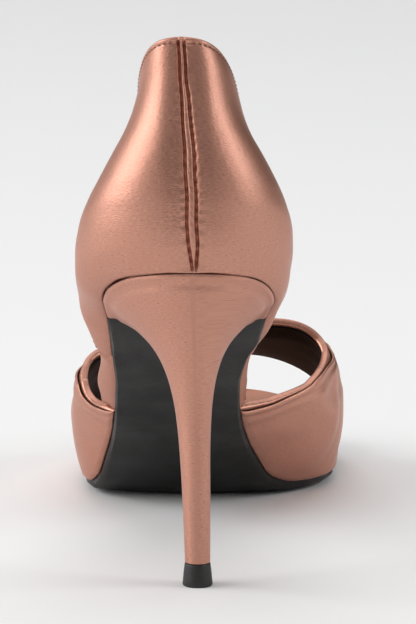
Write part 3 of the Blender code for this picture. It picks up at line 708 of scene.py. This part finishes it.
def build_quarter():
    """The closed back in satin over a kid lining, with a welted seam at the back."""
    around, height, full = quarter_grid()
    points = quarter_point(around, height / full)
    normals = outward(points)
    middle = len(full) // 2
    way = lengths(points, 1)
    aside = (way - way[:, middle, None]) / MM
    below_top = (full - height) / MM
    seam, groove = seam_relief(aside, height / MM, below_top)
    rolled = 0.18 * bump(below_top, 0.7, 0.8) - 0.16 * bump(below_top, TOPLINE_ROW, 0.45)
    waves = np.sin(aside * 2 * math.pi / (STITCH_PITCH / MM))
    pillow = 0.06 * waves * bump(below_top, TOPLINE_ROW, 0.9)
    outside = (seam + rolled + pillow - GROOVE_DEPTH * groove) * MM
    under_cloth = -SATIN_CLOTH - LINING_GROOVE * groove * MM
    add_wall(
        "quarter_satin", points, normals, outside, under_cloth, 0.75 * MM,
        SATIN, ["upper_quarter"],
    )
    inside = under_cloth[3:-2] - CLOTH_GAP
    add_wall(
        "quarter_lining", points[3:-2], normals[3:-2],
        inside, inside - QUARTER_WALL + SATIN_CLOTH, 0.35 * MM, LINING,
    )
    row = full - TOPLINE_ROW * MM
    line = quarter_point(around[0], row / full)
    index = np.searchsorted(height[:, middle], row[middle])
    lateral, medial = aside[index] < -SEAM_ZONE, aside[index] > SEAM_ZONE
    for side, chosen in (("lateral", lateral), ("medial", medial)):
        add_stitches(
            f"topline_stitches_{side}", line[chosen], normals[index][chosen],
            STITCH_PITCH, 1.35 * MM, 0.32 * MM, THREAD,
        )


# ---- Bands ----

# The grid's first steps: in from a rear edge or a front edge, in millimetres, and up from the
# sole's edge, as shares of the way to the crest.
EDGE_STEPS = np.array(
    [0, 0.03, 0.1, 0.2, 0.34, 0.5, 0.7, 0.95, 1.2, 1.45, 1.65, 1.85, 2.05, 2.3, 2.6, 3.0]
)
SIDE_STEPS = np.array([0, 0.0012, 0.003, 0.006, 0.010, 0.015, 0.022, 0.03])
STITCHED_ROW = 11  # the grid's row, 1.85 mm in from a rear edge, that carries the stitches
BAND_ROWS, BAND_COLUMNS = 84, 96


def opening_front(foot, top, inward):
    """A band's front edge: it rises from its foot to the top of the toe opening."""
    return foot + (top - foot) * np.sin(inward**0.9 * math.pi / 2)


def band_grid(band, foot, top):
    """The vamp's points from one band's rear edge to the toe opening, dense at the borders."""
    middle = np.linspace(0, 1 - SIDE_STEPS[-1], BAND_COLUMNS)
    half = np.concatenate([middle, 1 - SIDE_STEPS[-2::-1]])
    across = np.concatenate([-half[:0:-1], half])
    inward = 1 - np.abs(across)
    lateral, medial = REAR[band + "_lateral"](inward), REAR[band + "_medial"](inward)
    rear = SEAT_BACK + SOLE_LENGTH * np.where(across < 0, lateral, medial)
    front = opening_front(foot, top, inward)
    edge = EDGE_STEPS * MM
    t = np.linspace(0, 1, BAND_ROWS)[1:-1, None]
    between = rear + edge[-1] + (front - rear - edge[-1] - edge[STITCHED_ROW]) * t
    y = np.concatenate([rear + edge[:, None], between, front - edge[STITCHED_ROW::-1, None]])
    return vamp_point(y, np.broadcast_to(across, y.shape)), across, y - rear, front - y


def band_folds(across, behind):
    """Soft folds in millimetres, where the over band is gathered at its foot and over the joint.

    Near the foot the folds run level, as sines of the way behind the rear edge. Higher up they
    slant forward and fade out towards the toes.
    """
    way = behind / MM
    side = np.sign(across)
    inward = 1 - np.abs(across)
    slow = 0.6 * np.sin(way / 11 + 5 * inward + side) + 0.4 * np.sin(way / 5.3 - 9 * inward)
    level = np.sin(way / 8.5 * math.pi + 13 * inward + slow)
    slant = np.sin(way / 7 - 21 * inward + 1.7 * slow + side)
    low, high = bump(inward, 0.1, 0.22), bump(inward, 0.42, 0.3)
    fade = np.clip(way / 5, 0, 1) * np.exp(-((way / 24) ** 2))
    fold = (0.30 * low * level + 0.36 * high * slant) * fade
    along_edge = 0.24 * bump(way, 5.4 + 0.8 * np.sin(20 * inward), 2.2) - 0.22 * bump(way, 3.1, 1.2)
    return fold + along_edge * np.clip(inward / 0.05, 0, 1)


def build_bands():
    """The vamp's two satin bands over kid linings: the satin turns over each rear edge."""
    back = UNDER_BAND_SETBACK
    for band, foot, top in (
        ("under", TOE_OPENING_FOOT - back, TOE_OPENING_TOP - back),
        ("over", TOE_OPENING_FOOT, TOE_OPENING_TOP),
    ):
        points, across, behind, ahead = band_grid(band, foot, top)
        normals = outward(points)
        edge = behind / MM
        inward = np.broadcast_to(1 - np.abs(across), edge.shape)
        foot_share = np.clip(inward / 0.05, 0, 1)
        if band == "under":
            lift = 0.14 * bump(edge, 0.9, 1.0) - 0.12 * bump(edge, 2.3, 0.6)
            base = np.zeros_like(lift)
            turned = 2.1 - 1.35 * np.clip((edge - 1.6) / 1.2, 0, 1)
            cloth = turned * np.clip(inward / 0.08, 0.4, 1)
            lined = 1.2
        else:
            base = 0.32 + 0.78 * foot_share**0.7
            lift = 0.16 * bump(edge, 0.9, 1.0) - 0.05 * bump(edge, 2.5, 0.8)
            lift = lift + band_folds(across, behind) * np.clip(ahead / (8 * MM), 0, 1)
            cloth = 0.22 + 0.33 * foot_share**0.7
            lined = 0.3
        outer, inner = (base + lift) * MM, (base - cloth) * MM
        add_wall(
            f"{band}_band_satin", points, normals, outer, inner, 0.45 * MM,
            SATIN, [f"upper_{band}_band"],
        )
        part = slice(STITCHED_ROW + 1 if band == "under" else 4, -3)
        under = inner[part] - 0.03 * MM
        below = under - lined * MM * (0.2 + 0.8 * foot_share[part])
        add_wall(
            f"{band}_band_lining", points[part], normals[part], under, below, 0.3 * MM,
            LINING,
        )
        if band == "under":
            keep = np.abs(across) < 0.985
            up = normals[STITCHED_ROW][keep]
            line = points[STITCHED_ROW][keep] + up * -0.1 * MM
            add_stitches(
                "under_band_stitches", line, up, STITCH_PITCH, 1.2 * MM, 0.3 * MM, THREAD
            )


# ---- Sole ----

TIP_GAP = 0.25 * MM  # the last ring stops this far short of the toe's tip, to have some width
SKIVED_LENGTH = 8 * MM  # the outsole's rear end is thinned over this way
SKIVED_SHARE = 0.12  # thickness left at that end
EDGE_SHARE = 0.6  # thickness left at the outsole's side edges
ROUNDED_SHARE = 0.04  # share of the half width that those edges round over


def sole_crown(y):
    """How far the sole's middle hangs below its edge, growing with the square of the way."""
    return TREAD_CROWN * np.clip((y - QUARTER_END) / (TREAD_START - QUARTER_END), 0, 1) ** 2


def across_sole(y, shares, inset, beyond):
    """Sideways place and hang at shares of the half width, -1 lateral and 1 medial."""
    left = sole_edge(y, LATERAL, inset[0], beyond[0])
    right = sole_edge(y, MEDIAL, inset[1], beyond[1])
    x = (left + right) / 2 + (right - left) / 2 * shares
    return x, sole_crown(y) * (1 - shares**2)


def insole_inset(y, height, side):
    """How far the insole stands in from the wall's outside, where a wall covers it."""
    quarter, band = QUARTER_WALL + GAP, UNDER_BAND_WALL + 2 * GAP
    outside = np.clip((height - band) / belly_height(UNDER_BAND_CORNER), 0, 1)
    inward = (1 - WIDEST_PLACE) * outside ** (2 / 3)
    edge = REAR["under_medial" if side == MEDIAL else "under_lateral"]
    rear = SEAT_BACK + SOLE_LENGTH * float(edge(inward))
    front = opening_front(TOE_OPENING_FOOT, TOE_OPENING_TOP, inward)
    at = [QUARTER_END + 5 * GAP, QUARTER_END + 9 * GAP]
    at += [rear - GAP, rear + GAP, front + GAP, front + 5 * GAP]
    return np.interp(y, at, (quarter, 0, 0, band, band, 0))


def insole_reach(y, side, height):
    """How far the insole's side swells past its own foot at a height above the sole's edge."""
    inset = insole_inset(y, height, side)
    lifted = np.clip((height - inset) / belly_height(y), 0, 1)
    half = sole_half_width(y + GAP) + bulge(y + GAP, side)
    slope = (half - sole_half_width(y - GAP) - bulge(y - GAP, side)) / (2 * GAP)
    spread = np.minimum(np.hypot(1, slope), 1.6)
    swell = np.minimum(bulge(y, side), INSOLE_SWELL * (MEDIAL_SWELL if side == MEDIAL else 1.0))
    return swell * underside_curve(lifted, underside(y)) - inset * (spread - 1)


def stations(start, end, count):
    """Stations from start to end, closer together towards both ends as a cosine has them."""
    t = np.linspace(0, 1, count)
    return start + (end - start) * (0.7 * (1 - np.cos(t * math.pi)) / 2 + 0.3 * t)


def ring_grid(y, rows):
    """Rings from (x, z) columns over the stations."""
    return np.stack([np.stack([x + 0 * y, y + 0 * x, z + 0 * y], axis=-1) for x, z in rows], axis=1)


def build_outsole():
    """The outsole: a thin sheet on the sole's edge line, flat where it treads."""
    y = stations(BREAST + GAP, TOE_TIP - TIP_GAP, 240)
    t = np.linspace(-1, 1, 41)
    shares = np.sin(t * math.pi / 2) * 0.35 + t * 0.65
    skived = np.clip((y - BREAST - GAP) / SKIVED_LENGTH, 0, 1)
    full = SKIVED_SHARE + (1 - SKIVED_SHARE) * skived * (2 - skived)
    top, under = [], []
    for share in shares:
        x, hang = across_sole(y, share, (0.0, 0.0), (0.0, 0.0))
        z = edge_height(y) - hang
        rounding = np.clip((abs(share) - 1 + ROUNDED_SHARE) / ROUNDED_SHARE, 0, 1)
        left = EDGE_SHARE + (1 - EDGE_SHARE) * math.sqrt(1 - rounding**2)
        top.append((x, z))
        under.append((x, np.maximum(z - OUTSOLE_THICKNESS * left * full, 0)))
    rings = ring_grid(y, top + under[::-1])
    add_loft("outsole_leather", rings, SOLE_BLACK, ["outsole"])


def build_insole():
    """The insole board wrapped in satin, whose edge shows at the waist and round the toes."""
    y = stations(SEAT_BACK + QUARTER_WALL + 2 * GAP, TOE_TIP - TIP_GAP, 300)
    base = edge_height(y) + GAP

    def column(height, share, trim):
        """One column of the rings: a share of the half width, with the sides drawn in by trim."""
        inset = [insole_inset(y, height, side) for side in SIDES]
        beyond = [insole_reach(y, side, height) - trim for side in SIDES]
        return across_sole(y, share, inset, beyond)

    lefts, rights = [], []
    for height in np.array([0.1, 0.25, 0.42, 0.6, 0.78, 0.9, 0.97]) * INSOLE_THICKNESS:
        soft = 0.35 * MM * np.clip((height / INSOLE_THICKNESS - 0.8) / 0.2, 0, 1) ** 2
        lefts.append((column(height, -1.0, soft)[0], base + height))
        rights.append((column(height, 1.0, soft)[0], base + height))
    top, foot = [], []
    for share in np.linspace(-0.985, 0.985, 17):
        x, hang = column(INSOLE_THICKNESS, share, 0.5 * MM)
        top.append((x, base + INSOLE_THICKNESS - hang))
    for share in np.linspace(-1, 1, 31):
        x, hang = column(0.0, share, 0.0)
        foot.append((x, base - hang))
    rings = ring_grid(y, lefts + top + rights[::-1] + foot[::-1])
    add_loft("insole_satin", rings, SATIN, ["insole"], 60)


def build_sock():
    """The sock lining: a foiled sheet that stops just inside the insole's edge."""
    y = stations(SEAT_BACK + QUARTER_WALL + 3.2 * GAP, TOE_TIP - SOCK_INSET - 0.3 * MM, 220)
    inset = [np.maximum(insole_inset(y, INSOLE_THICKNESS, side), SOCK_INSET) for side in SIDES]
    beyond = [insole_reach(y, side, INSOLE_THICKNESS) - 2 * GAP for side in SIDES]
    top, under = [], []
    for share in np.sin(np.linspace(-1, 1, 21) * math.pi / 2):
        x, hang = across_sole(y, share, inset, beyond)
        z = edge_height(y) + 2 * GAP + INSOLE_THICKNESS - hang
        edge = np.sqrt(max(1 - share**6, 0.0))
        top.append((x, z + SOCK_THICKNESS * (0.35 + 0.65 * edge)))
        under.append((x, z))
    rings = ring_grid(y, top + under[::-1])
    add_loft("sock_leather", rings, SOCK_FOIL, ["sock_lining"])


# ---- Heel ----

def heel_rings(level, turn):
    """The heel: ellipses at the stem that turn into the seat's outline at the top."""
    read = {name: curve(level)[:, None] for name, curve in HEEL.items()}
    back, front = -TIP_SETBACK * read["back"], BREAST * read["front"]
    back_z = TOP_PIECE_HEIGHT + (SEAT_HEIGHT - TOP_PIECE_HEIGHT) * read["back_rise"]
    front_z = TOP_PIECE_HEIGHT + (edge_height(BREAST) - TOP_PIECE_HEIGHT) * read["front_rise"]
    half = (STEM_WIDTH + (SEAT_WIDTH - STEM_WIDTH) * read["width"]) / 2
    place = (1 - np.cos(turn)) / 2
    oval = np.sin(turn * 0.965 + 0.02)
    seat_y = SEAT_BACK + (BREAST - SEAT_BACK) * place
    y = back + (front - back) * place
    sag = edge_height(seat_y) - (SEAT_HEIGHT + (edge_height(BREAST) - SEAT_HEIGHT) * place)
    z = back_z + (front_z - back_z) * place + sag * read["squareness"]
    sides = []
    for side in SIDES:
        seat_half = np.abs(sole_edge(seat_y, side) - sole_axis(seat_y)) / (SEAT_WIDTH / 2)
        shape = oval * (1 - read["squareness"]) + seat_half * read["squareness"]
        x = read["lean"] * sole_axis(seat_y) + side * half * shape
        sides.append(np.stack([x, y, z], axis=-1))
    return np.concatenate([sides[0], sides[1][:, ::-1]], axis=1)


def build_heel():
    """The satin-covered heel, with a soft rolled edge under the seat."""
    near_seat = 0.96 + 0.04 * np.linspace(0, 1, 18)[1:] ** 0.8
    level = np.concatenate([np.linspace(0, 0.96, 130), near_seat])
    turn = (0.012 + 0.988 * np.linspace(0, 1, 64)) * math.pi
    rings = heel_rings(level, turn)
    closed = np.concatenate([rings[:, -1:], rings, rings[:, :1]], axis=1)
    normals = outward(closed)[:, 1:-1]
    normals *= np.sign((normals[..., :1] * rings[..., :1]).sum(axis=(0, 1)))
    below = lengths(rings, 0)
    below = (below[-1] - below) / MM
    crease = 0.22 * bump(below, 0.9, 1.0) - 0.32 * bump(below, 3.4, 2.2)
    rings = rings + normals * (crease * MM)[..., None]
    add_loft("heel_satin", rings, SATIN, ["heel"], 50)


TOP_PIECE_PROFILE = (  # shares of its height and of its full width and depth
    (0.0, 0.90), (0.012, 0.945), (0.04, 0.98), (0.09, 1.0), (0.3, 0.97),
    (0.6, 0.93), (0.9, 0.87), (0.97, 0.855), (1.0, 0.82),
)


def build_top_piece():
    """The moulded top piece: rings that swell to the tread and close on the floor."""
    turn = np.linspace(0.015, 0.985, 40) * math.pi
    rings = []
    for height, grow in TOP_PIECE_PROFILE:
        y = -np.cos(turn) * TOP_PIECE_DEPTH / 2 * grow
        x = np.sin(turn) * TOP_PIECE_WIDTH / 2 * grow
        z = np.full_like(x, height * (TOP_PIECE_HEIGHT - GAP))
        rings.append(np.concatenate([np.stack([-x, y, z], -1), np.stack([x, y, z], -1)[::-1]]))
    add_loft("top_piece_rubber", np.array(rings), RUBBER, ["top_piece"], 50)


build_quarter()
build_bands()
build_outsole()
build_insole()
build_sock()
build_heel()
build_top_piece()


# ---- Studio ----

SHOE_MIDDLE = (0.0, 0.06, 0.08)  # where the softboxes face
CAMERA_PLACE = (0.04896, -2.2584, 0.51946)
CAMERA_DIP, CAMERA_TURN = 10.936, 1.1630  # degrees below the level, and to the left of straight
CAMERA_LENS = 671.4  # millimetres, with a sensor 36 mm wide
WORLD_STRENGTH = 0.5
# Parts of the world that are dimmed: direction, where the dimming starts and is whole as cosines of
# the angle from it, and the share that is left. The first lies behind the camera.
DIMMED_PARTS = (
    ((0.05, -1.0, 0.0), 0.72, 0.95, 0.02),
    ((0.85, 0.52, 0.0), 0.0, 0.7, 0.1),
)


def add_light(name, place, width, height, power):
    """A softbox at place that faces the shoe."""
    light = bpy.data.lights.new(name, "AREA")
    light.shape, light.size, light.size_y = "RECTANGLE", width, height
    light.energy = power
    made = bpy.data.objects.new(name, light)
    made.location = place
    ahead = np.array(SHOE_MIDDLE) - np.array(place)
    flat = math.hypot(ahead[0], ahead[1])
    tilt, turn = math.atan2(ahead[2], flat), math.atan2(-ahead[0], ahead[1])
    made.rotation_euler = (math.pi / 2 + tilt, 0, turn)
    bpy.context.scene.collection.objects.link(made)


def build_floor():
    """A level square of paper, wide enough to fill the picture."""
    floor = bpy.data.meshes.new("paper_floor")
    reach = 4.0
    corners = [(-reach, -reach, 0), (reach, -reach, 0), (reach, reach, 0), (-reach, reach, 0)]
    floor.from_pydata(corners, [], [(0, 1, 2, 3)])
    floor.materials.append(background_paper("matt background paper"))
    sheet = bpy.data.objects.new("paper_floor", floor)
    bpy.context.scene.collection.objects.link(sheet)


def build_studio():
    """The world, the four softboxes and the camera at the photograph's angle."""
    scene = bpy.context.scene
    world = bpy.data.worlds.new("studio")
    scene.world = world
    world.use_nodes = True
    tree = world.node_tree
    background = tree.nodes["Background"]
    background.inputs[0].default_value = linear("f4f4f4")
    toward = object_place(tree)
    dimmed = []
    for direction, start, full, left in DIMMED_PARTS:
        pair = {0: toward, 1: direction}
        facing = add(tree, "ShaderNodeVectorMath", pair, operation="DOT_PRODUCT").outputs["Value"]
        span = {"Value": facing, "From Min": start, "From Max": full, "To Min": 1.0, "To Max": left}
        dimmed.append(add(tree, "ShaderNodeMapRange", span).outputs[0])
    both = add(tree, "ShaderNodeMath", {0: dimmed[0], 1: dimmed[1]}, operation="MULTIPLY")
    share = {0: both.outputs[0], 1: WORLD_STRENGTH}
    strength = add(tree, "ShaderNodeMath", share, operation="MULTIPLY")
    tree.links.new(strength.outputs[0], background.inputs[1])
    add_light("softbox_left", (-1.4, -0.05, 0.7), 1.4, 1.1, 17)
    add_light("softbox_right", (1.32, -0.15, 0.7), 0.75, 0.9, 7.5)
    add_light("softbox_over_camera", (-0.4, -0.8, 2.1), 1.4, 1.2, 2.5)
    add_light("softbox_top", (0.1, 1.1, 2.1), 2.6, 2.4, 21)
    scene.view_settings.view_transform = "Standard"
    data = bpy.data.cameras.new("camera")
    data.sensor_fit, data.sensor_width, data.lens = "HORIZONTAL", 36, CAMERA_LENS
    data.clip_end = 20
    camera = bpy.data.objects.new("camera", data)
    camera.location = CAMERA_PLACE
    camera.rotation_euler = (math.radians(90 - CAMERA_DIP), 0, math.radians(CAMERA_TURN))
    scene.collection.objects.link(camera)
    scene.camera = camera


build_floor()
build_studio()
